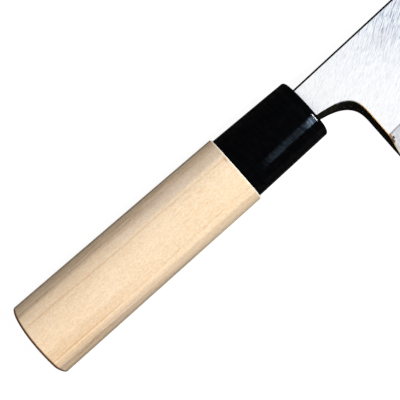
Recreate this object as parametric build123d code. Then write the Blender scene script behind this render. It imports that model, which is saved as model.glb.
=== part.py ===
from build123d import *
import os
from math import asin, cos, degrees, radians, sin, tan

# A single-bevel deba knife lying on its flat back face.
# The origin is the centre of the ferrule's mouth, on the handle's axis, where the tang goes in.
# +X runs along the handle's axis to the tip, +Y to the spine and +Z out of the bevelled front face.

# Handle: the wood and the ferrule together, and the wood's section at its two ends
handle_length = 126.65
ferrule_length = 33.05
butt_height = 30.2
butt_thickness = 22.8
collar_height = 27.9
collar_thickness = 20.6
butt_round = 0.5
collar_chamfer = 0.45

# Ferrule: it sits a step below the wood and narrows to the mouth
ferrule_step = 0.95
mouth_height = 24.3
mouth_thickness = 18.2
mouth_round = 1.1
ferrule_wall = 2.3
tenon_clearance = 0.05

# Section of the handle: an oval with a soft ridge low on the front side
ridge_drop_share = 0.84
ridge_rise_share = 0.68
ridge_round = 1.3

# Seal: resin that closes the ferrule's mouth round the tang
seal_recess = 0.5
seal_thickness = 1.6

# Tang: a tapered bar, hidden in the handle
tang_length = 98.0
tang_end_height = 5.6
tang_end_thickness = 3.4
tang_clearance = 0.2
tang_hole_spare = 3.0

# Blade outline, seen from the front
neck_length = 15.04
neck_above_axis = 7.35
neck_below_axis = 5.1
heel_below_axis = 36.8
heel_lean = 0.51
edge_length = 136.0
spine_rise_angle = 1.8
tip_drop = 12.0
spine_straight_share = 0.62
edge_straight_share = 0.34
edge_rise_angle = 3.0
belly_turn_angle = 15.0
tip_turn_angle = 45.0

# Choil: the curve from the neck to the upright edge of the heel, as a cubic with two pull points
choil_depth = 12.22
neck_pull_share = 0.9
neck_sag_share = 0.139
heel_pull_share = 0.712
# At the back face the choil and the neck stand further out, and the curve between them is fuller
choil_slant = 1.42
neck_slant = 0.82
back_heel_pull_share = 0.445

# Blade thickness
spine_thickness = 6.0
tip_thickness = 2.5
face_lean_angle = 1.0
edge_land = 0.25
bevel_angle = 26.2
bevel_spread_angle = 12.0
spine_chamfer = 0.65
choil_chamfer = 0.2

# Back face: a thin layer of edge steel, hollowed so that only its rim is flat
steel_thickness = 1.8
steel_start = 6.5
hollow_depth = 0.6
hollow_half_width = 17.5
hollow_rim = 4.5
hollow_tip_rim = 15.0
hollow_lean_angle = 4.0
hollow_place_shares = (0.0, 0.12, 0.35, 0.62, 0.84, 1.0)
hollow_depth_shares = (0.0, 0.62, 1.0, 0.86, 0.45, 0.0)

# One overrun for every cut
overrun = 8.0

# Places worked out from the sizes above
collar_x = -ferrule_length
butt_x = -handle_length
front_z = spine_thickness / 2
back_z = -spine_thickness / 2
tip_x = neck_length + edge_length
spine_slope = tan(radians(spine_rise_angle))
tip_y = neck_above_axis + spine_slope * tip_x - tip_drop
bore_half_height = mouth_height / 2 - ferrule_wall
bore_half_thickness = mouth_thickness / 2 - ferrule_wall
tenon_end_x = -seal_recess - seal_thickness


def spine_y(x):
    """Height of the straight part of the spine at x."""
    return neck_above_axis + spine_slope * x


def handle_section(x, height, thickness, rounding):
    """The oval section with its ridge, as a face across the handle at x."""
    half_height = height / 2
    half_thickness = thickness / 2
    ridge = Vector(-ridge_drop_share * half_height, ridge_rise_share * half_thickness)
    apex = Vector(0, half_thickness)
    bottom = Vector(-half_height, 0)
    spine_side = EllipticalCenterArc((0, 0), half_height, half_thickness, start_angle=0, arc_size=90)
    brow = TangentArc(apex, ridge, tangent=(-1, 0))
    cheek = TangentArc(bottom, ridge, tangent=(0, 1))
    back_side = EllipticalCenterArc((0, 0), half_height, half_thickness, start_angle=180, arc_size=180)
    outline = make_face([spine_side, brow, cheek, back_side])
    corner = outline.vertices().sort_by_distance(ridge)[0]
    outline = fillet(corner, rounding)
    across = Plane(origin=(x, 0, 0), x_dir=(0, 1, 0), z_dir=(1, 0, 0))
    return across * outline


def oval_bar(x_from, x_to, half_height, half_thickness):
    """A straight bar of oval section between two places on the handle's axis."""
    across = Plane(origin=(x_from, 0, 0), x_dir=(0, 1, 0), z_dir=(1, 0, 0))
    return extrude(across * Ellipse(half_height, half_thickness), amount=x_to - x_from)


def tang_bar(gap, spare):
    """The tang as a tapered bar from the mouth into the handle, grown by a gap all round."""
    middle_y = (neck_above_axis - neck_below_axis) / 2
    root = Plane(origin=(0, middle_y, 0), x_dir=(0, 1, 0), z_dir=(1, 0, 0))
    end = root.offset(-tang_length - spare)
    root_face = root * Rectangle(neck_above_axis + neck_below_axis + 2 * gap, spine_thickness + 2 * gap)
    end_face = end * Rectangle(tang_end_height + 2 * gap, tang_end_thickness + 2 * gap)
    return loft([end_face, root_face], ruled=True)


def make_handle():
    """The wood: a tapered body with a tenon for the ferrule and a blind hole for the tang."""
    body = loft(
        [
            handle_section(butt_x, butt_height, butt_thickness, ridge_round),
            handle_section(collar_x, collar_height, collar_thickness, ridge_round),
        ],
        ruled=True,
    )
    ends = body.faces().sort_by(Axis.X)
    body = fillet(ends[0].edges(), butt_round)
    body = chamfer(body.faces().sort_by(Axis.X)[-1].edges(), collar_chamfer)
    tenon = oval_bar(
        collar_x,
        tenon_end_x,
        bore_half_height - tenon_clearance,
        bore_half_thickness - tenon_clearance,
    )
    return body + tenon - tang_bar(tang_clearance, tang_hole_spare)


def make_ferrule():
    """The black sleeve over the tenon, with a rounded mouth."""
    shell = loft(
        [
            handle_section(
                collar_x,
                collar_height - 2 * ferrule_step,
                collar_thickness - 2 * ferrule_step,
                ridge_round,
            ),
            handle_section(0, mouth_height, mouth_thickness, ridge_round),
        ],
        ruled=True,
    )
    shell = fillet(shell.faces().sort_by(Axis.X)[-1].edges(), mouth_round)
    return shell - oval_bar(collar_x - overrun, overrun, bore_half_height, bore_half_thickness)


def edge_curve(inset, start_x, turn):
    """The cutting edge from the heel side to the tip, moved inwards and turned about the heel."""
    straight = edge_straight_share * edge_length
    first = radians(belly_turn_angle)
    last = radians(tip_turn_angle)
    # The tip as seen from the heel, along the straight part of the edge
    tip = Vector(edge_length, tip_y + heel_below_axis).rotate(Axis.Z, -edge_rise_angle)
    run = tip.X - straight
    rise = tip.Y
    # Two arcs, tangent to the straight and to each other, reach the tip at its own angle
    a, b = sin(first), sin(last) - sin(first)
    c, d = 1 - cos(first), cos(first) - cos(last)
    belly_radius = (run * d - rise * b) / (a * d - b * c)
    tip_radius = (rise * a - run * c) / (a * d - b * c)
    start = (start_x - neck_length + inset * sin(radians(turn))) / cos(radians(turn))
    level = Line((start, inset), (straight, inset))
    belly = JernArc(level @ 1, (1, 0), belly_radius - inset, belly_turn_angle)
    rest = tip_turn_angle - belly_turn_angle
    sweep = JernArc(belly @ 1, belly % 1, tip_radius - inset, rest)
    heel = Pos(neck_length, -heel_below_axis) * Rot(0, 0, turn)
    return [heel * piece for piece in (level, belly, sweep)]


def blade_outline(z, slant, drop, pull_share):
    """The blade's outline at height z; the slant moves the choil out, and the drop the neck's underside."""
    choil_x = neck_length - slant
    neck_y = -neck_below_axis - drop
    choil_y = neck_y - choil_depth
    level, belly, sweep = edge_curve(0, choil_x - heel_lean, edge_rise_angle)
    upright = Line((choil_x, choil_y), level @ 0)
    pull = Vector(choil_x, choil_y) - (upright % 0) * pull_share * choil_depth
    curve = Bezier(
        (-slant, neck_y),
        (neck_pull_share * neck_length - slant, neck_y - neck_sag_share * choil_depth),
        pull,
        (choil_x, choil_y),
    )
    spine_end_x = neck_length + spine_straight_share * edge_length
    spine_end = Vector(spine_end_x, spine_y(spine_end_x))
    nose = TangentArc(spine_end, (tip_x, tip_y), tangent=(1, spine_slope))
    spine = Line((-slant, spine_y(-slant)), spine_end)
    root = Line(spine @ 0, curve @ 0)
    return Pos(0, 0, z) * Face(Wire([root, curve, upright, level, belly, sweep, nose, spine]))


def bevel_keep():
    """A block whose underside is the bevel, which grows wider and flatter towards the tip."""
    rise = front_z + overrun - (back_z + edge_land)
    inset = rise / tan(radians(bevel_angle))
    left = -overrun
    high = spine_y(tip_x) + 2 * (inset + overrun)
    sections = [
        (back_z + edge_land, 0, edge_rise_angle),
        (front_z + overrun, inset, edge_rise_angle + bevel_spread_angle),
    ]
    faces = []
    for z, shift, turn in sections:
        level, belly, sweep = edge_curve(shift, left, turn)
        past_tip = sweep @ 1 + (sweep % 1) * 2 * overrun
        out = Line(sweep @ 1, past_tip)
        up = Line(past_tip, (past_tip.X, high))
        over = Line((past_tip.X, high), (left, high))
        down = Line((left, high), level @ 0)
        faces.append(Pos(0, 0, z) * Face(Wire([level, belly, sweep, out, up, over, down])))
    sloping = loft(faces, ruled=True)
    return sloping + extrude(faces[0], amount=-overrun)


def front_face_plane():
    """The flat front face: it sinks towards the tip and leans a little towards the edge."""
    sink = (spine_thickness - tip_thickness) / tip_x
    lean = tan(radians(face_lean_angle))
    return Plane(origin=(0, neck_above_axis, front_z), x_dir=(1, 0, -sink), z_dir=(sink, -lean, 1))


def back_hollow():
    """The shallow scoop in the back face, as ground by a large wheel along the blade."""
    wheel = (hollow_half_width**2 + hollow_depth**2) / (2 * hollow_depth)
    length = edge_length - hollow_rim - hollow_tip_rim
    places = []
    for place, depth in zip(hollow_place_shares, hollow_depth_shares):
        places.append((place * length, depth * hollow_depth))
    profile = Spline(places)
    floor = Polyline(places[-1], (length, -overrun), (0, -overrun), places[0])
    side = Plane(origin=(0, 0, 0), x_dir=(1, 0, 0), z_dir=(0, -1, 0))
    slab = side * make_face([profile, floor])
    half_turn = degrees(asin(min(1, (hollow_half_width + overrun) / wheel)))
    axle = Axis((0, 0, hollow_depth - wheel), (1, 0, 0))
    scoop = revolve(slab.rotate(axle, -half_turn), axle, 2 * half_turn)
    middle_y = (spine_y(neck_length) - heel_below_axis) / 2
    scoop = Rot(0, 0, hollow_lean_angle) * scoop
    return Pos(neck_length + hollow_rim, middle_y, back_z) * scoop


def make_blade():
    """The blade in one piece, before the tang is added and the edge steel is parted from it."""
    back = blade_outline(back_z, choil_slant, neck_slant, back_heel_pull_share)
    front = blade_outline(front_z, 0, 0, heel_pull_share)
    blade = loft([back, front], ruled=True)
    blade = split(blade, bisect_by=front_face_plane(), keep=Keep.BOTTOM)
    blade = blade & bevel_keep()
    blade = ease_front_edges(blade)
    return blade - back_hollow()


def front_face(blade):
    """The large flat face that looks the same way as the front face's plane."""
    facing = front_face_plane().z_dir
    return max(blade.faces().filter_by(GeomType.PLANE), key=lambda f: f.normal_at().dot(facing))


def ease_front_edges(blade):
    """Break the front face's long edges: along the spine, and round the choil to the heel."""
    spine_edges = [e for e in front_face(blade).edges() if e.center().Y > 0 and e.center().X > 0]
    blade = chamfer(spine_edges, spine_chamfer)
    reach = neck_length + choil_slant
    low_edges = [e for e in front_face(blade).edges() if e.center().Y < 0]
    choil_edges = [e for e in low_edges if 0 < e.center().X < reach]
    return chamfer(choil_edges, choil_chamfer)


def steel_layer():
    """The space of the edge steel: a flat layer over the back of the blade, from the neck to the tip."""
    length = tip_x + overrun - steel_start
    width = spine_y(tip_x) + heel_below_axis + 2 * overrun
    layer = Box(
        length,
        width,
        steel_thickness + overrun,
        align=(Align.MIN, Align.MIN, Align.MAX),
    )
    return Pos(steel_start, -heel_below_axis - overrun, back_z + steel_thickness) * layer


def make_seal(tang):
    """The resin round the tang, on the tenon's end and a little inside the ferrule's mouth."""
    plug = oval_bar(tenon_end_x, -seal_recess, bore_half_height, bore_half_thickness)
    return plug - tang


def export(name, shape):
    """Write one sub-part to its own file."""
    export_step(shape, "parts/" + name + ".step")


os.makedirs("parts", exist_ok=True)

whole_blade = make_blade()
edge_steel = whole_blade & steel_layer()
blade_iron = whole_blade - steel_layer() + tang_bar(0, 0)
export("handle_wood", make_handle())
export("ferrule", make_ferrule())
export("mouth_seal", make_seal(blade_iron))
export("blade_iron", blade_iron)
export("edge_steel", edge_steel)
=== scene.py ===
import bpy
import math
from mathutils import Matrix, Vector


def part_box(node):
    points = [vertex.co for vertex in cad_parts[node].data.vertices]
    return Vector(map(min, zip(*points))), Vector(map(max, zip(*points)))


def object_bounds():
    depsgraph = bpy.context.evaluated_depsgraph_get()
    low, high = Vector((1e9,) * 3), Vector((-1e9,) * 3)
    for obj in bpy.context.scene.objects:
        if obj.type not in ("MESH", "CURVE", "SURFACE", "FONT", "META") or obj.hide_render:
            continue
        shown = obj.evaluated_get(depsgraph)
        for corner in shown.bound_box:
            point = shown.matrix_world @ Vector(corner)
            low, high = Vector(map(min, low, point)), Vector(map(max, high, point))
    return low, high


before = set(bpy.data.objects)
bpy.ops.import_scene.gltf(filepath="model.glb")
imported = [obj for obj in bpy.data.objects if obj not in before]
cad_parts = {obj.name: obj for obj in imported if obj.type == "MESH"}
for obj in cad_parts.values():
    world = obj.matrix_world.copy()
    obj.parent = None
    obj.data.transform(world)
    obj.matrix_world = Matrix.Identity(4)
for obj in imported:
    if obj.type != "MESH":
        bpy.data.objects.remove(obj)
cad_low, cad_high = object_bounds()

MM = 0.001
WIDTH_PX = 400
SENSOR = 36.0

# Camera: where the photograph was taken from, in the knife's frame, and the way it is turned
FOCAL_PX = 849.7
CAMERA_PLACE = Vector((-42.15, -53.6, 299.9)) * MM
CAMERA_RIGHT = Vector((0.7522, -0.6449, -0.1353))
CAMERA_DOWN = Vector((-0.6584, -0.7438, -0.1154))
CAMERA_NEAR_CLIP = 0.01

# Places on the handle, in millimetres from the ferrule's mouth
COLLAR_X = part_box("ferrule")[0][0] / MM
BUTT_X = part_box("handle_wood")[0][0] / MM

# The blade's faces, its spine, its choil and its heel, as the construction has them, in millimetres
FRONT_Z = 3.0
BACK_Z = -FRONT_Z
NECK_TOP = 7.35
NECK_LENGTH = 15.04
TIP_X = 151.04
SINK_AT_TIP = 3.5
FACE_SINK = SINK_AT_TIP / TIP_X
FACE_LEAN = math.tan(math.radians(1.0))
SPINE_SLOPE = math.tan(math.radians(1.8))
SPINE_STRAIGHT_END = 99.0
CHOIL_LOW = -17.3
HEEL_LOW = -36.8
HEEL_LEAN = 0.51
CHOIL_SLANT = 1.42


def linear(r, g, b):
    """A colour as seen on screen, 0 to 255, turned into the numbers that a shader takes."""
    out = []
    for v in (r, g, b):
        v = v / 255
        out.append(v / 12.92 if v <= 0.04045 else ((v + 0.055) / 1.055) ** 2.4)
    return (*out, 1.0)


def tint(r, g, b):
    """A colour that multiplies another, as plain shares of light."""
    return (r, g, b, 1.0)


class Nodes:
    """A small helper that adds shader nodes to one material, world or lamp and links them."""

    def __init__(self, owner):
        owner.use_nodes = True
        self.owner = owner
        self.tree = owner.node_tree
        self.tree.nodes.clear()

    def add(self, kind, **settings):
        node = self.tree.nodes.new(kind)
        for key, value in settings.items():
            setattr(node, key, value)
        return node

    def link(self, out, into):
        self.tree.links.new(out, into)

    def feed(self, socket, value):
        """Put a number, a colour or another node's output into a socket."""
        if isinstance(value, bpy.types.NodeSocket):
            self.link(value, socket)
        else:
            socket.default_value = value

    def math(self, operation, a, b=0.0):
        node = self.add("ShaderNodeMath", operation=operation)
        self.feed(node.inputs[0], a)
        self.feed(node.inputs[1], b)
        return node.outputs[0]

    def plus(self, *values):
        """The sum of numbers and outputs."""
        total = values[0]
        for value in values[1:]:
            total = self.math("ADD", total, value)
        return total

    def minus(self, a, b):
        """The first number or output less the second."""
        return self.math("SUBTRACT", a, b)

    def times(self, *values):
        """The product of numbers and outputs."""
        total = values[0]
        for value in values[1:]:
            total = self.math("MULTIPLY", total, value)
        return total

    def place(self):
        """The point's place in the knife's frame, in millimetres, and its three parts."""
        coords = self.add("ShaderNodeTexCoord")
        scale = self.add("ShaderNodeVectorMath", operation="SCALE")
        self.link(coords.outputs["Object"], scale.inputs[0])
        scale.inputs["Scale"].default_value = 1 / MM
        parts = self.add("ShaderNodeSeparateXYZ")
        self.link(scale.outputs[0], parts.inputs[0])
        return scale.outputs[0], parts.outputs

    def normal(self):
        """The face's own direction, as three parts."""
        geometry = self.add("ShaderNodeNewGeometry")
        parts = self.add("ShaderNodeSeparateXYZ")
        self.link(geometry.outputs["True Normal"], parts.inputs[0])
        return parts.outputs

    def stretch(self, vector, scale, turn=0.0):
        """The vector turned about Z by minus the angle, in degrees, then scaled along each axis."""
        turned = self.add("ShaderNodeVectorRotate", rotation_type="Z_AXIS")
        self.link(vector, turned.inputs["Vector"])
        turned.inputs["Angle"].default_value = math.radians(-turn)
        node = self.add("ShaderNodeVectorMath", operation="MULTIPLY")
        self.link(turned.outputs[0], node.inputs[0])
        node.inputs[1].default_value = scale
        return node.outputs[0]

    def grain(self, vector, scale, turn=0.0, detail=4.0, rough=0.55):
        """Noise from 0 to 1 over the vector, with that many cells per unit along each turned axis."""
        node = self.add("ShaderNodeTexNoise")
        self.link(self.stretch(vector, scale, turn), node.inputs["Vector"])
        node.inputs["Scale"].default_value = 1.0
        node.inputs["Detail"].default_value = detail
        node.inputs["Roughness"].default_value = rough
        return node.outputs["Fac"]

    def span(self, value, low, high, to_low=0.0, to_high=1.0, smooth=True):
        """The value taken from one range to another, held at the ends."""
        kind = "SMOOTHSTEP" if smooth else "LINEAR"
        node = self.add("ShaderNodeMapRange", interpolation_type=kind)
        node.inputs["From Min"].default_value = low
        node.inputs["From Max"].default_value = high
        node.inputs["To Min"].default_value = to_low
        node.inputs["To Max"].default_value = to_high
        self.feed(node.inputs["Value"], value)
        return node.outputs[0]

    def window(self, value, start, full, fade, end):
        """A share that rises from start to full, and falls again from fade to end."""
        return self.times(self.span(value, start, full), self.span(value, fade, end, 1.0, 0.0))

    def near(self, value, middle, half, soft):
        """A share that is 1 within half of a line and falls off over a soft edge."""
        away = self.math("ABSOLUTE", self.minus(value, middle))
        return self.span(away, half, half + soft, 1.0, 0.0)

    def spot(self, x, y, along, across):
        """A soft patch, with its middle, half width and soft edge along the knife and across it."""
        return self.times(self.near(x, *along), self.near(y, *across))

    def patch(self, x, y, along, across):
        """A share that rises and falls over a window along the knife and one across it."""
        return self.times(self.window(x, *along), self.window(y, *across))

    def mix(self, share, a, b, blend="MIX"):
        """One colour taken over into another, as far as the share goes."""
        node = self.add("ShaderNodeMix", data_type="RGBA", blend_type=blend)
        self.feed(node.inputs[0], share)
        self.feed(node.inputs[6], a)
        self.feed(node.inputs[7], b)
        return node.outputs[2]

    def mix_numbers(self, share, a, b):
        """One number taken over into another, as far as the share goes."""
        node = self.add("ShaderNodeMix", data_type="FLOAT")
        self.feed(node.inputs[0], share)
        self.feed(node.inputs[2], a)
        self.feed(node.inputs[3], b)
        return node.outputs[0]

    def shade(self, colour, share, by):
        """The colour multiplied by another, as far as the share goes."""
        return self.mix(share, colour, by, "MULTIPLY")

    def bump(self, height, strength, distance):
        """The surface's direction, tilted by a height; the distance is in millimetres."""
        node = self.add("ShaderNodeBump")
        self.link(height, node.inputs["Height"])
        node.inputs["Strength"].default_value = strength
        node.inputs["Distance"].default_value = distance * MM
        return node.outputs[0]

    def seen(self):
        """A share that is 1 for rays from the eye, and for those that gloss or glass sends on."""
        rays = self.add("ShaderNodeLightPath")
        share = self.math("MAXIMUM", rays.outputs["Is Camera Ray"], rays.outputs["Is Glossy Ray"])
        return self.math("MAXIMUM", share, rays.outputs["Is Transmission Ray"])

    def join(self, shader, kind="ShaderNodeOutputMaterial"):
        """Join a shader to the output."""
        self.link(shader, self.add(kind).inputs[0])

    def surface(self, **inputs):
        """The principled shader, with its inputs by name, joined to the output."""
        shader = self.add("ShaderNodeBsdfPrincipled")
        for key, value in inputs.items():
            self.feed(shader.inputs[key.replace("_", " ")], value)
        self.join(shader.outputs[0])
        return self.owner


def new_material(name):
    """Nodes for a new material of that name."""
    return Nodes(bpy.data.materials.new(name))


def wear(node_name, material):
    """Give a CAD node its material."""
    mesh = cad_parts[node_name].data
    mesh.materials.clear()
    mesh.materials.append(material)


# Handle wood: its colours
WOOD_CREAM = linear(252, 229, 199)
# The butt's rim in painted shade, and the collar's edge in a painted highlight
WOOD_RIM_SHADE = linear(86, 58, 34)
WOOD_EDGE_HIGHLIGHT = linear(255, 246, 228)
END_PALE = linear(214, 182, 146)
END_DARK = linear(188, 150, 112)

# Its bands: the heights between which a band rises and falls, then its share as it goes from one place
# along the handle to another, then what it multiplies the wood by
NO_START = (-60.0, -50.0)
EVEN = (-60.0, -50.0, 1.0, 1.0)
WOOD_BANDS = (
    # Painted shade along the top, brownish, with two paler ribs in it
    ((9.0, 9.9, 11.4, 13.4), (-100.0, -45.0, 1.0, 0.35), (0.80, 0.78, 0.78)),
    ((9.85, 10.3, 10.7, 11.15), (-80.0, -60.0, 1.0, 0.0), (1.12, 1.13, 1.13)),
    ((11.35, 11.85, 12.55, 13.05), EVEN, (1.12, 1.13, 1.13)),
    # A painted highlight as a cool, pale line, under a greyer band
    ((3.9, 4.4, 4.9, 5.6), (-100.0, -82.0, 0.0, 1.0), (1.02, 1.04, 1.10)),
    ((4.6, 6.2, 8.8, 10.5), (-100.0, -45.0, 0.0, 1.0), (0.88, 0.90, 0.96)),
    # Tan by the ridge, and darker below it
    ((-10.4, -9.9, -8.2, -6.2), (-105.0, -80.0, 1.0, 0.3), (0.91, 0.88, 0.84)),
    ((-11.2, -10.9, -10.5, -10.2), (-104.0, -78.0, 1.0, 0.1), (0.90, 0.87, 0.84)),
    ((-13.2, -12.7, -11.75, -11.35), (-105.0, -60.0, 1.0, 0.15), (0.86, 0.83, 0.81)),
    ((*NO_START, -13.0, -10.3), (-90.0, -62.0, 0.0, 1.0), (0.93, 0.91, 0.90)),
    ((*NO_START, -13.8, -12.8), (-100.0, -45.0, 1.0, 0.0), (0.88, 0.84, 0.81)),
    ((-14.5, -13.9, -13.5, -12.9), (-112.0, -60.0, 1.0, 0.15), (0.74, 0.76, 0.82)),
    # Warmer by the butt, greener towards the collar, and paler in the middle
    ((*NO_START, -2.0, 3.0), (-112.0, -98.0, 1.0, 0.0), (0.995, 0.98, 0.955)),
    ((*NO_START, 5.0, 8.0), (-100.0, -45.0, 0.0, 1.0), (0.975, 0.99, 0.99)),
    ((-6.0, -2.0, 3.5, 6.0), (-92.0, -72.0, 0.0, 1.0), (1.04, 1.05, 1.07)),
)

# Its grain: cells per millimetre along, across and through the handle, their turn in degrees, detail and
# roughness; then the noise levels taken to shares; then what the full share multiplies the wood by. Every
# other noise is given in the same way, and every other span of levels too
WOOD_GRAIN = {
    "cloud": (((0.035, 0.11, 0.11), 0.0, 2.0, 0.55), (0.35, 0.70, 0.0, 0.5), (0.95, 0.93, 0.89)),
    "fibre": (((0.20, 1.7, 1.7), 0.0, 4.0, 0.62), (0.62, 0.34, 0.0, 1.0), (0.965, 0.93, 0.89)),
    "mottle": (((1.0, 1.4, 1.4), 0.0, 3.0, 0.8), (0.62, 0.38, 0.0, 1.0), (0.90, 0.87, 0.845)),
    "blush": (((0.55, 0.9, 0.9), 40.0, 2.0, 0.7), (0.45, 0.70, 0.0, 1.0), (1.0, 0.955, 0.90)),
    "pores": (((0.9, 6.0, 6.0), 0.0, 1.0, 0.55), (0.66, 0.76, 0.0, 0.6), (0.84, 0.76, 0.70)),
}

# What the grain adds to the wood's height, the bump's strength and distance, and the mottle's levels taken
# to roughness
WOOD_HEIGHTS = {"fibre": 0.8, "mottle": 0.5, "pores": 0.4}
WOOD_BUMP = (0.22, 0.10)
WOOD_ROUGHNESS = (0.2, 0.8, 0.72, 0.58)
WOOD_SPECULAR = 0.15

# The noise that breaks its single lines up, and the noise that makes them waver about its middle value
LINE_BREAKS = ((0.10, 0.25, 0.25), 0.0, 2.0, 0.55)
LINE_SWAY = ((0.04, 0.02, 0.02), 0.0, 2.0, 0.55)
NOISE_MIDDLE = 0.5

# The height of each line from one place along the handle to another, how far it wavers, then half its width
# and its soft edge
UPPER_LINE_Y = ((-110.0, -90.0, 4.42, 3.80), (-90.0, -35.0, 0.0, -0.22))
LOWER_LINE_Y = (-98.0, COLLAR_X, -10.55, -9.40)
STREAK_LINE_Y = (-115.0, -60.0, 9.5, 8.4)
UPPER_WAVER = 0.7
LOWER_WAVER_SHARE = 0.4
STREAK_WAVER_SHARE = 1.5
UPPER_LINE = (0.10, 0.45)
LOWER_LINE = (0.10, 0.42)
STREAK_LINE = (0.45, 0.85)

# The noise levels that break each line up and the shares that they leave, where the line changes along the
# handle, and what it multiplies the wood by
UPPER_BREAKS = (0.30, 0.50, 0.45, 1.0)
LOWER_BREAKS = (0.40, 0.60, 1.0, 0.45)
STREAK_BREAKS = (0.3, 0.6, 0.6, 1.0)
UPPER_LINE_PALES = (-95.0, -75.0)
LOWER_LINE_FADES = (-90.0, -70.0, 1.0, 0.6)
STREAK_FADES = (-66.0, -54.0, 1.0, 0.0)
UPPER_LINE_BUTT = tint(0.91, 0.84, 0.75)
UPPER_LINE_COLLAR = tint(0.93, 0.87, 0.79)
LOWER_LINE_TINT = tint(0.91, 0.83, 0.72)
STREAK_TINT = tint(0.85, 0.83, 0.83)

# Its marks: middle, half width and soft edge, along the handle and across it; the smudge is spotted, and on
# the front alone
PATCH = ((-64.0, 13.0, 10.0), (7.1, 0.9, 1.4))
PATCH_TINT = tint(1.03, 1.045, 1.09)
SMUDGE = ((-33.6, 0.3, 0.8), (3.1, 0.6, 1.4))
SMUDGE_FRONT = (0.0, 2.0)
SMUDGE_SPOTS = ((1.6, 1.1, 1.1), 0.0, 2.0, 0.55)
SMUDGE_LEVELS = (0.42, 0.60, 0.25, 1.0)
SMUDGE_TINT = tint(0.68, 0.58, 0.53)

# Torn fibres and flecks: windows along the handle and across it, the noise, and its levels
TORN_AREA = ((-64.0, -55.0, -44.0, -36.0), (-8.0, -4.0, 1.0, 3.5))
TORN_GRAIN = ((0.30, 1.5, 1.5), 0.0, 3.0, 0.7)
TORN_LEVELS = (0.52, 0.68)
TORN_TINT = tint(0.97, 0.86, 0.72)
FLECK_AREA = ((-121.0, -116.0, -106.0, -98.0), (-14.8, -14.0, -13.2, -12.2))
FLECK_GRAIN = ((0.28, 1.1, 1.1), 0.0, 3.0, 0.7)
FLECK_LEVELS = (0.50, 0.64)
FLECK_TINT = tint(0.74, 0.66, 0.60)

# Fine hairs high on the front: where they are, the noise and its levels
HAIR_ABOVE = (8.6, 10.0)
HAIR_FADES = (-60.0, -36.0, 1.0, 0.6)
HAIR_GRAIN = ((0.07, 1.9, 1.9), 0.0, 3.0, 0.7)
HAIR_LEVELS = (0.47, 0.60)
HAIR_TINT = tint(0.80, 0.77, 0.76)

# Its sides, painted shade along the upper and lower edges: the window over how far the surface faces the
# front, and the span over how far it faces the spine; the lower one fades along the handle
UPPER_SIDE_SHADE = ((0.06, 0.16, 0.42, 0.56), (0.80, 0.86))
UPPER_SHADE_TINT = tint(0.54, 0.51, 0.47)
LOWER_SIDE_SHADE = ((-0.04, 0.04, 0.19, 0.28), (-0.80, -0.86))
LOWER_SHADE_FADES = (-75.0, -50.0, 1.0, 0.45)
LOWER_SHADE_TINT = tint(0.62, 0.67, 0.69)

# Its cut end: how far the surface faces back there, the stretch and the bend of the growth rings, and pores
END_FACING = (-0.90, -0.97)
RING_STRETCH = (0.0, 0.11, 0.028)
RING_BEND = ((0.0, 0.07, 0.07), 0.0, 1.0, 0.55)
END_PORES = ((0.5, 4.0, 4.0), 0.0, 2.0, 0.7)
END_PORE_LEVELS = (0.55, 0.70)
END_PORE_TINT = tint(0.74, 0.66, 0.58)

# Its edges, the butt's rim in painted shade and the collar's edge in a painted highlight: how far from the
# butt and from the collar each starts and is full, in millimetres
RIM_SHADE_WIDTH = (1.15, 0.65)
EDGE_HIGHLIGHT_WIDTH = (0.55, 0.30)


def wood_bands(n, x, y, colour):
    """The broad bands along the handle, among them painted shade along the top and a painted highlight."""
    for heights, along, multiply in WOOD_BANDS:
        share = n.times(n.window(y, *heights), n.span(x, *along))
        colour = n.shade(colour, share, tint(*multiply))
    return colour


def wood_lines(n, place, x, y, colour):
    """Single growth lines and streaks that can be followed along the handle."""
    broken = n.grain(place, *LINE_BREAKS)
    waver = n.times(n.minus(n.grain(place, *LINE_SWAY), NOISE_MIDDLE), UPPER_WAVER)

    # The upper line drops a little from the butt to the collar
    first, rest = UPPER_LINE_Y
    upper_y = n.plus(n.span(x, *first), n.span(x, *rest), waver)
    upper = n.times(n.near(y, upper_y, *UPPER_LINE), n.span(broken, *UPPER_BREAKS))
    upper_tint = n.mix(n.span(x, *UPPER_LINE_PALES), UPPER_LINE_BUTT, UPPER_LINE_COLLAR)
    colour = n.shade(colour, upper, upper_tint)

    # The lower line follows the ridge
    lower_y = n.plus(n.span(x, *LOWER_LINE_Y, smooth=False), n.times(waver, LOWER_WAVER_SHARE))
    lower = n.times(n.near(y, lower_y, *LOWER_LINE), n.span(broken, *LOWER_BREAKS))
    lower = n.times(lower, n.span(x, *LOWER_LINE_FADES))
    colour = n.shade(colour, lower, LOWER_LINE_TINT)

    # A dark streak by the butt, and a cooler patch past its end
    streak_y = n.plus(n.span(x, *STREAK_LINE_Y), n.times(waver, STREAK_WAVER_SHARE))
    streak = n.times(n.near(y, streak_y, *STREAK_LINE), n.span(x, *STREAK_FADES))
    colour = n.shade(colour, n.times(streak, n.span(broken, *STREAK_BREAKS)), STREAK_TINT)
    return n.shade(colour, n.spot(x, y, *PATCH), PATCH_TINT)


def wood_marks(n, place, x, y, z, colour):
    """Small marks: fibres short of the collar, a smudge against it, and dark flecks under the ridge."""
    torn = n.span(n.grain(place, *TORN_GRAIN), *TORN_LEVELS)
    colour = n.shade(colour, n.times(torn, n.patch(x, y, *TORN_AREA)), TORN_TINT)
    smudge = n.times(n.spot(x, y, *SMUDGE), n.span(z, *SMUDGE_FRONT))
    spots = n.span(n.grain(place, *SMUDGE_SPOTS), *SMUDGE_LEVELS)
    colour = n.shade(colour, n.times(smudge, spots), SMUDGE_TINT)
    fleck = n.span(n.grain(place, *FLECK_GRAIN), *FLECK_LEVELS)
    return n.shade(colour, n.times(fleck, n.patch(x, y, *FLECK_AREA)), FLECK_TINT)


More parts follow.
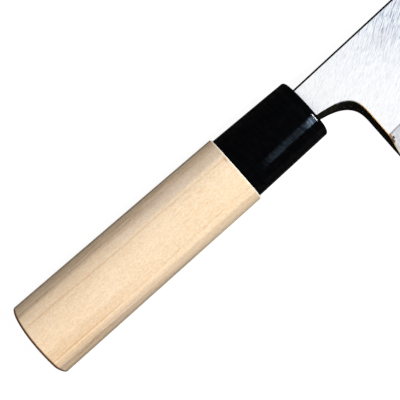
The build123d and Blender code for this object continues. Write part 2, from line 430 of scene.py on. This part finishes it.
def wood_sides(n, place, facing, x, y, colour):
    """Finer, redder fibres high on the front, and painted shade on the upper and lower sides."""
    above = n.times(n.span(y, *HAIR_ABOVE), n.span(x, *HAIR_FADES))
    hairs = n.span(n.grain(place, *HAIR_GRAIN), *HAIR_LEVELS)
    colour = n.shade(colour, n.times(above, hairs), HAIR_TINT)
    # Painted shade along the upper and lower sides, where the surface turns from the front
    to_front, to_spine = UPPER_SIDE_SHADE
    upper = n.times(n.window(facing[2], *to_front), n.span(facing[1], *to_spine))
    colour = n.shade(colour, upper, UPPER_SHADE_TINT)
    to_front, to_spine = LOWER_SIDE_SHADE
    lower = n.times(n.window(facing[2], *to_front), n.span(facing[1], *to_spine))
    lower = n.times(lower, n.span(x, *LOWER_SHADE_FADES))
    return n.shade(colour, lower, LOWER_SHADE_TINT)


def end_grain(n, place):
    """The cut end: curved rings and close pores."""
    rings = n.add("ShaderNodeTexWave", wave_type="BANDS", bands_direction="Y", wave_profile="SAW")
    bent = n.add("ShaderNodeVectorMath", operation="ADD")
    n.link(n.stretch(place, RING_STRETCH), bent.inputs[0])
    n.link(n.grain(place, *RING_BEND), bent.inputs[1])
    n.link(bent.outputs[0], rings.inputs["Vector"])
    rings.inputs["Scale"].default_value = 1.0
    colour = n.mix(rings.outputs["Fac"], END_PALE, END_DARK)
    pores = n.grain(place, *END_PORES)
    return n.shade(colour, n.span(pores, *END_PORE_LEVELS), END_PORE_TINT)


def wood_material():
    """Pale, plain magnolia wood: faint bands and thin growth lines, short fibres and a fine mottle, with
    painted shade and highlights in some bands and at its edges.
    """
    n = new_material("ho_wood")
    place, (x, y, z) = n.place()
    facing = n.normal()
    colour = wood_bands(n, x, y, WOOD_CREAM)
    colour = wood_lines(n, place, x, y, colour)
    colour = wood_marks(n, place, x, y, z, colour)
    grain = {}
    for name, (noise, levels, multiply) in WOOD_GRAIN.items():
        grain[name] = n.grain(place, *noise)
        colour = n.shade(colour, n.span(grain[name], *levels), tint(*multiply))
    colour = wood_sides(n, place, facing, x, y, colour)

    # The cut end and its rounded rim in painted shade; the edge that stands over the ferrule, in a painted
    # highlight
    colour = n.mix(n.span(facing[0], *END_FACING), colour, end_grain(n, place))
    rim_shade_start, rim_shade_full = (BUTT_X + width for width in RIM_SHADE_WIDTH)
    rim_shade = n.times(n.span(facing[0], *reversed(END_FACING)), n.span(x, rim_shade_start, rim_shade_full))
    colour = n.mix(rim_shade, colour, WOOD_RIM_SHADE)
    # A painted highlight along the wood's edge by the collar
    highlight_start, highlight_full = (COLLAR_X - width for width in EDGE_HIGHLIGHT_WIDTH)
    colour = n.mix(n.span(x, highlight_start, highlight_full), colour, WOOD_EDGE_HIGHLIGHT)

    height = n.plus(*(n.times(grain[name], share) for name, share in WOOD_HEIGHTS.items()))
    return n.surface(
        Base_Color=colour,
        Roughness=n.span(grain["mottle"], *WOOD_ROUGHNESS),
        Specular_IOR_Level=WOOD_SPECULAR,
        Normal=n.bump(height, *WOOD_BUMP),
    )


# Ferrule: its colours, and a painted highlight on the mouth's rim, on the front alone
FERRULE_BLACK = linear(3, 3, 4)
FERRULE_DUST = linear(7, 7, 8)
RIM_GLINT_WHITE = linear(238, 240, 245)
RIM_GLINT = ((-1.12, 0.07, 0.13), (-6.15, 1.25, 0.35))
RIM_GLINT_FRONT = (4.0, 5.0)

# Its gloss, from facing the eye to edge-on: brighter in one ring, and uneven from rings of polishing
GLOSS = (0.20, 0.62, 0.016, 0.001)
GLOSS_TINT = tint(0.80, 0.90, 1.0)
BRIGHT_RING = (-3.7, 0.5, 0.9)
BRIGHT_SHARES = (0.0, 1.0, 0.85, 1.5)
POLISH_RINGS = ((1.2, 0.25, 0.25), 8.0, 3.0, 0.7)
POLISH_SHARES = (0.35, 0.65, 0.35, 1.65)

# Its rubbing, with the levels taken to dust and to roughness; its slight swell and its polishing lines
RUB = ((0.25, 0.9, 0.9), 0.0, 5.0, 0.65)
RUB_LEVELS = (0.45, 0.75)
RUB_ROUGHNESS = (0.3, 0.8, 0.04, 0.10)
SWELL = ((0.05, 0.30, 0.30), 0.0, 1.0, 0.55)
POLISH_LINES = ((0.05, 1.6, 1.6), 0.0, 3.0, 0.7)
POLISH_LINE_HEIGHT = 0.14
FERRULE_BUMP = (0.08, 0.20)


def ferrule_material():
    """Polished black, with lengthwise polishing lines, faint dust and a painted highlight on the mouth's
    rim.
    """
    n = new_material("black_ferrule")
    place, (x, y, z) = n.place()
    rings = n.span(n.grain(place, *POLISH_RINGS), *POLISH_SHARES, smooth=False)
    bright = n.span(n.near(x, *BRIGHT_RING), *BRIGHT_SHARES)
    edge_on = n.add("ShaderNodeLayerWeight").outputs["Facing"]
    rub = n.grain(place, *RUB)
    colour = n.mix(n.span(rub, *RUB_LEVELS), FERRULE_BLACK, FERRULE_DUST)
    # A painted highlight as a white dash on the mouth's rim
    rim_glint = n.times(n.spot(x, y, *RIM_GLINT), n.span(z, *RIM_GLINT_FRONT))
    colour = n.mix(rim_glint, colour, RIM_GLINT_WHITE)
    lines = n.times(n.grain(place, *POLISH_LINES), POLISH_LINE_HEIGHT)
    return n.surface(
        Base_Color=colour,
        Roughness=n.span(rub, *RUB_ROUGHNESS),
        Specular_IOR_Level=n.times(n.span(edge_on, *GLOSS), rings, bright),
        Specular_Tint=GLOSS_TINT,
        Normal=n.bump(n.plus(n.grain(place, *SWELL), lines), *FERRULE_BUMP),
    )


# Mouth seal: its colours, its pits, and their levels taken to roughness
RESIN_DARK = linear(38, 26, 18)
RESIN_PALE = linear(74, 52, 34)
RESIN_PITS = (2.2, 2.2, 2.2)
RESIN_ROUGHNESS = (0.3, 0.7, 0.28, 0.5)
RESIN_BUMP = (0.4, 0.2)


def seal_material():
    """Dark poured resin, with small pits."""
    n = new_material("mouth_resin")
    pits = n.grain(n.place()[0], RESIN_PITS)
    return n.surface(
        Base_Color=n.mix(pits, RESIN_DARK, RESIN_PALE),
        Roughness=n.span(pits, *RESIN_ROUGHNESS),
        Normal=n.bump(pits, *RESIN_BUMP),
    )


# Brush and grinding marks: the turn from the handle's axis in degrees, the length and the width in
# millimetres, then the noise's detail and roughness
STREAK = (30.0, 4.5, 0.36, 3.0, 0.6)
STROKE = (29.0, 2.4, 0.26, 3.0, 0.7)
SCORE = (32.5, 7.0, 0.46, 2.0, 0.5)
BACK_GRIND = (82.0, 6.0, 0.16, 5.0, 0.62)
BACK_MARK = (4.0, 14.0, 0.22, 5.0, 0.62)
BEVEL_GRIND = (80.0, 5.0, 0.55, 3.0, 0.62)
BEVEL_STROKE = (80.0, 2.5, 0.25, 2.0, 0.62)

# Blade's front face: its colours by the neck and up the blade, and what its marks and the painted shade by
# the ferrule multiply them by
FACE_NEAR = linear(255, 254, 254)
FACE_FAR = linear(249, 251, 254)
STREAK_BLUE = tint(0.49, 0.555, 0.63)
STROKE_BLUE = tint(0.66, 0.74, 0.80)
STROKE_MAUVE = tint(0.75, 0.72, 0.79)
SCORE_BLUE = tint(0.50, 0.56, 0.64)
FACE_CLOUD = tint(0.92, 0.93, 0.94)
MAUVE_PATCH = ((36.5, 1.0, 5.0), (0.8, 0.5, 4.0))
MAUVE = tint(0.95, 0.935, 0.95)
SHADE_BY_FERRULE = tint(0.89, 0.93, 0.99)

# The way onward up the blade, as the place along the handle's axis plus a share of the height, and how far
# each kind of mark shows over it; then the places along the axis and across it where marks and the painted
# shade by the ferrule come and go
ONWARD_LEAN = 0.9
ONWARD = (8.0, 48.0)
STREAK_ONWARD = (0.3, 1.0, 0.20, 1.0)
STROKE_ONWARD = (0.0, 1.0, 0.52, 0.96)
CLOUD_ONWARD = (0.0, 1.0, 0.3, 1.0)
FAR_ALONG = (50.0, 95.0, 1.0, 0.5)
SCORE_ALONG = (27.0, 40.0)
SCORE_ACROSS = (-4.0, 2.0, 0.35, 0.9)
SHADE_BY_FERRULE_ALONG = (4.5, 0.5)

# The noise levels at which each kind of mark and the painted shade by the ferrule set in and are full, and
# the noise of its hue and its clouds
STREAK_LEVELS = (0.52, 0.62)
STROKE_LEVELS = (0.49, 0.62)
SCORE_LEVELS = (0.55, 0.65)
SHADE_BY_FERRULE_LEVELS = (0.40, 0.62)
HUE_GRAIN = ((0.35, 1.1, 1.1), 30.0, 1.0, 0.55)
HUE_LEVELS = (0.42, 0.58)
CLOUD_GRAIN = ((0.14, 0.26, 0.26), 30.0, 2.0, 0.55)
CLOUD_LEVELS = (0.45, 0.70)

# Blade's back and bevel: colours, noise levels, and the depth of the painted shade line under the bevel's
# upper edge
BACK_DARK = linear(200, 204, 211)
BACK_PALE = linear(228, 231, 236)
BACK_LEVELS = (0.3, 0.7)
BACK_MARK_LEVELS = (0.7, 0.4)
BACK_MARK_TINT = tint(0.86, 0.88, 0.92)
BEVEL_DARK = linear(208, 210, 214)
BEVEL_PALE = linear(243, 244, 247)
BEVEL_LEVELS = (0.35, 0.65)
BEVEL_STROKE_LEVELS = (0.45, 0.65)
BEVEL_STROKE_TINT = tint(0.91, 0.91, 0.92)
BEVEL_SHADE_LINE = (0.22, 0.38, 1.0, 0.0)
BEVEL_SHADE_TINT = tint(0.62, 0.63, 0.66)

# How far the surface faces up where it is the bevel, a side, the back and the eased edge by the choil
BEVEL_FACING = (0.80, 0.84, 0.955, 0.975)
SIDE_FACING = (0.80, 0.84)
BACK_FACING = (-0.60, -0.80)
EASED_FACING = (0.52, 0.64)

# How far under the plane of the front face the bevel sets in, in millimetres
BEVEL_DEPTH = (0.02, 0.06)

# Forge scale: its noise and levels, and the place along the neck, the line and the levels where it is thin
SCALE_DARK = linear(11, 11, 9)
SCALE_PALE = linear(36, 34, 28)
SCALE_THIN = linear(48, 45, 37)
SCALE_GRAIN = ((1.6, 1.6, 1.6), 0.0, 6.0, 0.7)
SCALE_LEVELS = (0.42, 0.68)
THIN_ALONG = (11.0, 7.0)
THIN_LINE = (0.3, 0.8, 1.8)
THIN_LEVELS = (0.46, 0.60, 0.1, 1.0)

# Its lip over the front face along the spine: how far in it ends, over what length it fades, and between
# which heights it sets in, so that it stays on the front
LIP_WIDTH = (0.74, 0.90)
LIP_FADE = 6.0
LIP_FRONT = (0.0, 1.0)

# Bare metal round the choil: where it is eased, its gold partly a painted highlight; how wide the warm line
# is and where it widens and changes; the marks in it as middle, half width and soft edge
EASED_GOLD_HIGHLIGHT = linear(252, 224, 150)
EASED_BELOW = (0.0, -1.0)
EASED_ALONG = (10.5, 13.0)
WARM_HIGH = linear(172, 134, 96)
WARM_LOW = linear(222, 200, 140)
WARM_WIDTH = (0.45, 1.05)
WARM_SPREAD = 0.12
WARM_MIDDLE_Y = -28.7
WARM_BELOW = (-20.0, -24.0)
WARM_CHANGE = (-29.5, -31.5)
BURR = ((14.60, 0.25, 0.40), (-29.4, 0.5, 0.7))
BURR_BROWN = linear(112, 86, 60)
HOOK = ((15.42, 0.20, 0.14), (-28.72, 0.36, 0.20))
HOOK_DARK = linear(40, 30, 26)

# The iron's surface: the heights of its marks and its scale, the bump's strength and distance, the streaks'
# levels taken to roughness, and how much rougher the scale is
STREAK_HEIGHT = 0.7
STROKE_HEIGHT = 0.3
SCALE_HEIGHT = 2.5
IRON_BUMP = (0.12, 0.10)
IRON_ROUGHNESS = (0.3, 0.7, 0.50, 0.40)
SCALE_ROUGHNESS = 0.5
METAL_SPECULAR = 0.01


def brushed(n, place, turn, length, width, detail, rough):
    """Marks of that length and width, in millimetres, turned from the handle's axis."""
    return n.grain(place, (1 / length, 1 / width, 1 / width), turn, detail, rough)


def front_depth(n, x, y, z):
    """How far a point lies below the plane of the blade's front face."""
    plane = n.plus(FRONT_Z - FACE_LEAN * NECK_TOP, n.times(x, -FACE_SINK), n.times(y, FACE_LEAN))
    return n.minus(plane, z)


def face_colour(n, place, x, y, streak, stroke):
    """Bright brushed iron: bluish strokes, faint by the neck and stronger up the blade, and painted shade
    by the ferrule.
    """
    onward = n.span(n.plus(x, n.times(y, ONWARD_LEAN)), *ONWARD, smooth=False)
    colour = n.mix(onward, FACE_NEAR, FACE_FAR)
    far = n.span(x, *FAR_ALONG)
    strong = n.times(n.span(streak, *STREAK_LEVELS), n.span(onward, *STREAK_ONWARD), far)
    colour = n.shade(colour, strong, STREAK_BLUE)

    tone = n.mix(n.span(n.grain(place, *HUE_GRAIN), *HUE_LEVELS), STROKE_BLUE, STROKE_MAUVE)
    fine = n.times(n.span(stroke, *STROKE_LEVELS), n.span(onward, *STROKE_ONWARD))
    colour = n.shade(colour, fine, tone)

    deep = n.times(n.span(x, *SCORE_ALONG), n.span(y, *SCORE_ACROSS), far)
    score = n.span(brushed(n, place, *SCORE), *SCORE_LEVELS)
    colour = n.shade(colour, n.times(deep, score), SCORE_BLUE)

    cloud = n.span(n.grain(place, *CLOUD_GRAIN), *CLOUD_LEVELS)
    colour = n.shade(colour, n.times(cloud, n.span(onward, *CLOUD_ONWARD)), FACE_CLOUD)
    colour = n.shade(colour, n.spot(x, y, *MAUVE_PATCH), MAUVE)
    # Painted shade on the face next to the ferrule, broken up by the strokes
    shade_by_ferrule = n.times(n.span(x, *SHADE_BY_FERRULE_ALONG), n.span(stroke, *SHADE_BY_FERRULE_LEVELS))
    return n.shade(colour, shade_by_ferrule, SHADE_BY_FERRULE)


def back_colour(n, place):
    """The flat, hollowed back: bright steel ground across, with a few longer marks."""
    ground = brushed(n, place, *BACK_GRIND)
    marks = n.span(brushed(n, place, *BACK_MARK), *BACK_MARK_LEVELS)
    colour = n.mix(n.span(ground, *BACK_LEVELS), BACK_DARK, BACK_PALE)
    return n.shade(colour, marks, BACK_MARK_TINT), ground


def bevel_colour(n, place, below):
    """The ground bevel: a satin grey crossed by fine grinding marks, with a painted shade line just under
    its upper line.
    """
    ground = brushed(n, place, *BEVEL_GRIND)
    stroke = brushed(n, place, *BEVEL_STROKE)
    colour = n.mix(n.span(ground, *BEVEL_LEVELS), BEVEL_DARK, BEVEL_PALE)
    colour = n.shade(colour, n.span(stroke, *BEVEL_STROKE_LEVELS), BEVEL_STROKE_TINT)
    return n.shade(colour, n.span(below, *BEVEL_SHADE_LINE), BEVEL_SHADE_TINT)


def scale_colour(n, x, z, grain):
    """Black forge scale, thinner and paler along the neck's underside."""
    colour = n.mix(n.span(grain, *SCALE_LEVELS), SCALE_DARK, SCALE_PALE)
    thin = n.times(n.span(x, *THIN_ALONG), n.near(z, *THIN_LINE), n.span(grain, *THIN_LEVELS))
    return n.mix(thin, colour, SCALE_THIN)


def choil_edge(n, y, z):
    """The place along the handle's axis of the choil's upright edge."""
    lean = n.span(y, CHOIL_LOW, HEEL_LOW, 0.0, -HEEL_LEAN, smooth=False)
    slant = n.span(z, FRONT_Z, BACK_Z, 0.0, -CHOIL_SLANT, smooth=False)
    return n.plus(lean, slant, NECK_LENGTH)


def bare_edge(n, x, y, z, on_bevel, colour):
    """Warm, bare metal on the bevel's end by the choil, with a burr and a small hook in it."""
    from_choil = n.minus(x, choil_edge(n, y, z))
    spread = n.plus(from_choil, n.times(n.minus(WARM_MIDDLE_Y, y), WARM_SPREAD))
    warm = n.times(on_bevel, n.span(y, *WARM_BELOW), n.span(spread, *WARM_WIDTH, 1.0, 0.0))
    colour = n.mix(warm, colour, n.mix(n.span(y, *WARM_CHANGE), WARM_HIGH, WARM_LOW))
    for place, mark_colour in ((BURR, BURR_BROWN), (HOOK, HOOK_DARK)):
        colour = n.mix(n.times(n.spot(x, y, *place), on_bevel), colour, mark_colour)
    return colour


def blade_material():
    """Iron: brushed front face, satin bevel, and black forge scale on the choil, the neck and the spine."""
    n = new_material("blade_iron")
    place, (x, y, z) = n.place()
    up = n.normal()[2]
    below = front_depth(n, x, y, z)
    streak = brushed(n, place, *STREAK)
    stroke = brushed(n, place, *STROKE)
    face = face_colour(n, place, x, y, streak, stroke)
    on_bevel = n.times(n.window(up, *BEVEL_FACING), n.span(below, *BEVEL_DEPTH))
    colour = n.mix(on_bevel, face, bevel_colour(n, place, below))
    colour = n.mix(n.span(up, *BACK_FACING), colour, back_colour(n, place)[0])

    # Forge scale on the sides, and a little over the face's edge along the spine
    side = n.span(n.math("ABSOLUTE", up), *SIDE_FACING, 1.0, 0.0)
    from_spine = n.minus(n.plus(n.times(x, SPINE_SLOPE), NECK_TOP), y)
    straight = n.span(x, SPINE_STRAIGHT_END - LIP_FADE, SPINE_STRAIGHT_END, 1.0, 0.0)
    lip = n.times(n.span(from_spine, *LIP_WIDTH, 1.0, 0.0), straight, n.span(z, *LIP_FRONT))
    scaled = n.math("MAXIMUM", side, lip)
    grain = n.grain(place, *SCALE_GRAIN)
    colour = n.mix(scaled, colour, scale_colour(n, x, z, grain))

    # The eased edge round the choil shows bare metal in a bright gold that is partly a painted highlight,
    # down to a burr where the bevel starts
    eased = n.times(side, n.span(up, *EASED_FACING), n.span(y, *EASED_BELOW), n.span(x, *EASED_ALONG))
    colour = n.mix(eased, colour, EASED_GOLD_HIGHLIGHT)
    colour = bare_edge(n, x, y, z, on_bevel, colour)

    brush_height = n.plus(n.times(streak, STREAK_HEIGHT), n.times(stroke, STROKE_HEIGHT))
    height = n.mix_numbers(scaled, brush_height, n.times(grain, SCALE_HEIGHT))
    return n.surface(
        Base_Color=colour,
        Metallic=n.minus(1.0, n.times(scaled, n.minus(1.0, eased))),
        Roughness=n.plus(n.span(streak, *IRON_ROUGHNESS), n.times(scaled, SCALE_ROUGHNESS)),
        Specular_IOR_Level=METAL_SPECULAR,
        Normal=n.bump(height, *IRON_BUMP),
    )


# Edge steel: its dark sides, and how far up or down a surface faces there at most
STEEL_SIDE = linear(16, 14, 12)
STEEL_SIDE_FACING = (0.50, 0.60)

# Its hollow: how far over the back's flat rim it sets in, how far down it faces, its tint and its roughness
HOLLOW_START = (0.01, 0.07)
HOLLOW_FACING = (-0.90, -0.97)
HOLLOW_TINT = tint(0.80, 0.82, 0.86)
HOLLOW_ROUGHNESS = 0.10

# Its polish: the grinding marks' levels taken to roughness, how much rougher the sides are, and the bump
STEEL_ROUGHNESS = (0.3, 0.7, 0.40, 0.28)
STEEL_SIDE_ROUGHNESS = 0.5
STEEL_BUMP = (0.08, 0.06)


def steel_material():
    """Edge steel: a bright flat rim on the back, a greyer hollow inside it, and dark sides."""
    n = new_material("edge_steel")
    place, (_, _, z) = n.place()
    up = n.normal()[2]
    colour, ground = back_colour(n, place)
    hollow_low, hollow_high = (BACK_Z + height for height in HOLLOW_START)
    hollow = n.times(n.span(z, hollow_low, hollow_high), n.span(up, *HOLLOW_FACING))
    colour = n.shade(colour, hollow, HOLLOW_TINT)
    side = n.span(n.math("ABSOLUTE", up), *STEEL_SIDE_FACING, 1.0, 0.0)
    colour = n.mix(side, colour, STEEL_SIDE)
    rougher = n.plus(n.times(side, STEEL_SIDE_ROUGHNESS), n.times(hollow, HOLLOW_ROUGHNESS))
    return n.surface(
        Base_Color=colour,
        Metallic=n.minus(1.0, side),
        Roughness=n.plus(n.span(ground, *STEEL_ROUGHNESS), rougher),
        Specular_IOR_Level=METAL_SPECULAR,
        Normal=n.bump(ground, *STEEL_BUMP),
    )


# Floor and room: how bright they look to the eye, how much light they give back, and how far the floor
# reaches each way, in metres
FLOOR_GLOW = 0.93
FLOOR_SHADE = 0.22
FLOOR_REACH = 3.0
ROOM_GLOW = 1.0
ROOM_FILL = 0.16


def floor_material():
    """A white table: it shows white to the eye and in gloss, and still takes the knife's soft shadow."""
    n = new_material("white_floor")
    diffuse = n.add("ShaderNodeBsdfDiffuse")
    diffuse.inputs[0].default_value = tint(FLOOR_SHADE, FLOOR_SHADE, FLOOR_SHADE)
    glow = n.add("ShaderNodeEmission")
    n.link(n.times(n.seen(), FLOOR_GLOW), glow.inputs["Strength"])
    both = n.add("ShaderNodeAddShader")
    n.link(diffuse.outputs[0], both.inputs[0])
    n.link(glow.outputs[0], both.inputs[1])
    n.join(both.outputs[0])
    return n.owner


def make_floor():
    """A large plain floor under the lowest point; the photograph's view doesn't reach its edge."""
    mesh = bpy.data.meshes.new("floor")
    corners = []
    for x, y in ((-1, -1), (1, -1), (1, 1), (-1, 1)):
        corners.append((x * FLOOR_REACH, y * FLOOR_REACH, cad_low[2]))
    mesh.from_pydata(corners, [], [(0, 1, 2, 3)])
    floor = bpy.data.objects.new("floor", mesh)
    bpy.context.scene.collection.objects.link(floor)
    mesh.materials.append(floor_material())


def make_world():
    """A dim room for the lamps' fill, pale grey where the eye or a gloss looks past the floor."""
    world = bpy.data.worlds.new("room")
    bpy.context.scene.world = world
    n = Nodes(world)
    back = n.add("ShaderNodeBackground")
    n.link(n.mix_numbers(n.seen(), ROOM_FILL, ROOM_GLOW), back.inputs["Strength"])
    n.join(back.outputs[0], "ShaderNodeOutputWorld")


# Lamps: the place, the point looked at and the size, in millimetres, and the power in watts
SOFT_BOX = ((234, -250, 480), (-20, -10, 0), (250, 140), 3.75)
BUTT_FILL = ((-330, -60, 420), (-110, 0, 0), (200, 200), 0.45)
GLOSS_CARD = ((45, -250, 480), (-20, -10, 0), (90, 160), 6.6)
GLOSS_TOP = ((140, 115, 580), (25, 0, 0), (500, 500), 0.08)
STEEL_SKY = ((300, -150, 560), (80, -10, 0), (700, 800), 0.54)
CARD_COLOUR = (0.66, 0.81, 1.0)
SKY_COLOUR = (0.88, 0.94, 1.0)

# The card's brightness along its width and its height, as places and levels
CARD_ALONG = ((0.21, 0.0), (0.30, 0.16), (0.81, 0.12), (0.84, 1.0))
CARD_ACROSS = ((0.0, 1.0), (0.6, 1.0), (1.0, 0.0))


def area_lamp(name, place, aim, size, power):
    """A rectangular soft light at a place, turned to a point, both in millimetres."""
    lamp = bpy.data.lights.new(name, "AREA")
    lamp.shape = "RECTANGLE"
    lamp.size, lamp.size_y = (s * MM for s in size)
    lamp.energy = power
    holder = bpy.data.objects.new(name, lamp)
    bpy.context.scene.collection.objects.link(holder)
    holder.location = Vector(place) * MM
    way = (Vector(aim) - Vector(place)).normalized()
    across = Vector((1, 0, 0))
    across = (across - way * across.dot(way)).normalized()
    up = (-way).cross(across)
    holder.rotation_euler = Matrix((across, up, -way)).transposed().to_euler()
    holder.visible_camera = False
    return holder


def shade_lamp(lamp, along, across):
    """Make a lamp's face unevenly bright: ramps of (place, level) along its width and its height."""
    n = Nodes(lamp)
    face = n.add("ShaderNodeNewGeometry")
    parts = n.add("ShaderNodeSeparateXYZ")
    n.link(face.outputs["Parametric"], parts.inputs[0])
    levels = []
    for axis, stops in enumerate((along, across)):
        ramp = n.add("ShaderNodeValToRGB")
        n.link(parts.outputs[axis], ramp.inputs[0])
        line = ramp.color_ramp.elements
        while len(line) < len(stops):
            line.new(0.5)
        for element, (place, level) in zip(line, stops):
            element.position = place
            element.color = tint(level, level, level)
        levels.append(ramp.outputs[0])
    glow = n.add("ShaderNodeEmission")
    n.link(n.times(*levels), glow.inputs["Strength"])
    n.join(glow.outputs[0], "ShaderNodeOutputLight")


def shine_only_on(holder, *node_names):
    """Keep a lamp's light to some CAD nodes."""
    group = bpy.data.collections.new(holder.name + "_on")
    for name in node_names:
        group.objects.link(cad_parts[name])
    holder.light_linking.receiver_collection = group


def make_lamps():
    """Two lamps for the wood, and three that only gloss sees: for the black, for the steel and for all."""
    for name, lamp in (("soft_box", SOFT_BOX), ("butt_fill", BUTT_FILL)):
        area_lamp(name, *lamp).visible_glossy = False
    card = area_lamp("gloss_card", *GLOSS_CARD)
    card.data.color = CARD_COLOUR
    card.visible_diffuse = False
    shade_lamp(card.data, CARD_ALONG, CARD_ACROSS)
    shine_only_on(card, "ferrule")
    area_lamp("gloss_top", *GLOSS_TOP).visible_diffuse = False
    sky = area_lamp("steel_sky", *STEEL_SKY)
    sky.data.color = SKY_COLOUR
    sky.visible_diffuse = False
    shine_only_on(sky, "blade_iron", "edge_steel")


def make_camera():
    """The photograph's view: pinhole, no blur, no shift."""
    camera = bpy.data.cameras.new("photo_camera")
    camera.sensor_width = SENSOR
    camera.lens = FOCAL_PX / WIDTH_PX * SENSOR
    camera.clip_start = CAMERA_NEAR_CLIP
    holder = bpy.data.objects.new("photo_camera", camera)
    bpy.context.scene.collection.objects.link(holder)
    right = CAMERA_RIGHT.normalized()
    back = right.cross(-CAMERA_DOWN).normalized()
    up = back.cross(right)
    turn = Matrix((right, up, back)).transposed().to_4x4()
    holder.matrix_world = Matrix.Translation(CAMERA_PLACE) @ turn
    bpy.context.scene.camera = holder


make_camera()
wear("handle_wood", wood_material())
wear("ferrule", ferrule_material())
wear("mouth_seal", seal_material())
wear("blade_iron", blade_material())
wear("edge_steel", steel_material())
make_floor()
make_world()
make_lamps()
bpy.context.scene.view_settings.view_transform = "Standard"
